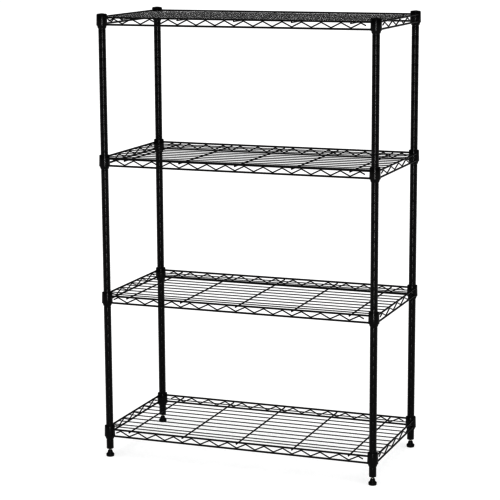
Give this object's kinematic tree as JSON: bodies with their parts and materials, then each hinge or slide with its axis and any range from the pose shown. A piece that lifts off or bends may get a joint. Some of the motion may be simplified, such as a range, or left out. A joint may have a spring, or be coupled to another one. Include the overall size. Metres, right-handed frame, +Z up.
{
  "type": "wire shelving rack",
  "caption": "Free-standing rack of welded wire shelves on round grooved posts, with clip-on tapered sleeves and levelling feet.",
  "frame": {"origin": "on the floor under the middle of the rack", "axes": "+Z up, +X along the shelves, -Y the front"},
  "size_m": [0.7974, 0.3994, 1.2333],
  "materials": {
    "post_coat": "glossy black powder coat on steel tube",
    "shelf_coat": "glossy black powder coat on welded steel wire",
    "sleeve_plastic": "black moulded plastic",
    "cap_plastic": "black moulded plastic",
    "insert_plastic": "black moulded plastic",
    "stud_zinc": "bright zinc plating",
    "pad_plastic": "black moulded plastic"
  },
  "bodies": {
    "uprights": {"post_fl": "post_coat", "post_cap_fl": "cap_plastic", "foot_insert_fl": "insert_plastic", "post_fr": "post_coat", "post_cap_fr": "cap_plastic", "foot_insert_fr": "insert_plastic", "post_bl": "post_coat", "post_cap_bl": "cap_plastic", "foot_insert_bl": "insert_plastic", "post_br": "post_coat", "post_cap_br": "cap_plastic", "foot_insert_br": "insert_plastic", "sleeve_1_fl_back": "sleeve_plastic", "sleeve_1_fl_front": "sleeve_plastic", "sleeve_1_fr_back": "sleeve_plastic", "sleeve_1_fr_front": "sleeve_plastic", "sleeve_1_bl_back": "sleeve_plastic", "sleeve_1_bl_front": "sleeve_plastic", "sleeve_1_br_back": "sleeve_plastic", "sleeve_1_br_front": "sleeve_plastic", "sleeve_2_fl_back": "sleeve_plastic", "sleeve_2_fl_front": "sleeve_plastic", "sleeve_2_fr_back": "sleeve_plastic", "sleeve_2_fr_front": "sleeve_plastic", "sleeve_2_bl_back": "sleeve_plastic", "sleeve_2_bl_front": "sleeve_plastic", "sleeve_2_br_back": "sleeve_plastic", "sleeve_2_br_front": "sleeve_plastic", "sleeve_3_fl_back": "sleeve_plastic", "sleeve_3_fl_front": "sleeve_plastic", "sleeve_3_fr_back": "sleeve_plastic", "sleeve_3_fr_front": "sleeve_plastic", "sleeve_3_bl_back": "sleeve_plastic", "sleeve_3_bl_front": "sleeve_plastic", "sleeve_3_br_back": "sleeve_plastic", "sleeve_3_br_front": "sleeve_plastic", "sleeve_4_fl_back": "sleeve_plastic", "sleeve_4_fl_front": "sleeve_plastic", "sleeve_4_fr_back": "sleeve_plastic", "sleeve_4_fr_front": "sleeve_plastic", "sleeve_4_bl_back": "sleeve_plastic", "sleeve_4_bl_front": "sleeve_plastic", "sleeve_4_br_back": "sleeve_plastic", "sleeve_4_br_front": "sleeve_plastic"},
    "shelf_1": {"shelf_1_frame": "shelf_coat", "shelf_1_deck": "shelf_coat"},
    "shelf_2": {"shelf_2_frame": "shelf_coat", "shelf_2_deck": "shelf_coat"},
    "shelf_3": {"shelf_3_frame": "shelf_coat", "shelf_3_deck": "shelf_coat"},
    "shelf_4": {"shelf_4_frame": "shelf_coat", "shelf_4_deck": "shelf_coat"},
    "foot_fl": {"foot_stud_fl": "stud_zinc", "foot_pad_fl": "pad_plastic"},
    "foot_fr": {"foot_stud_fr": "stud_zinc", "foot_pad_fr": "pad_plastic"},
    "foot_bl": {"foot_stud_bl": "stud_zinc", "foot_pad_bl": "pad_plastic"},
    "foot_br": {"foot_stud_br": "stud_zinc", "foot_pad_br": "pad_plastic"}
  },
  "joints": [
    {"name": "shelf_1_lift", "type": "slide", "parent": "uprights", "child": "shelf_1", "axis": [0, 0, 1], "range_m": [0, 0.34]},
    {"name": "shelf_2_lift", "type": "slide", "parent": "uprights", "child": "shelf_2", "axis": [0, 0, 1], "range_m": [0, 0.34]},
    {"name": "shelf_3_lift", "type": "slide", "parent": "uprights", "child": "shelf_3", "axis": [0, 0, 1], "range_m": [0, 0.34]},
    {"name": "shelf_4_lift", "type": "slide", "parent": "uprights", "child": "shelf_4", "axis": [0, 0, 1], "range_m": [0, 0.07]},
    {"name": "foot_fl_screw", "type": "slide", "parent": "uprights", "child": "foot_fl", "axis": [0, 0, -1], "range_m": [-0.0025, 0.012]},
    {"name": "foot_fr_screw", "type": "slide", "parent": "uprights", "child": "foot_fr", "axis": [0, 0, -1], "range_m": [-0.0025, 0.012]},
    {"name": "foot_bl_screw", "type": "slide", "parent": "uprights", "child": "foot_bl", "axis": [0, 0, -1], "range_m": [-0.0025, 0.012]},
    {"name": "foot_br_screw", "type": "slide", "parent": "uprights", "child": "foot_br", "axis": [0, 0, -1], "range_m": [-0.0025, 0.012]}
  ]
}
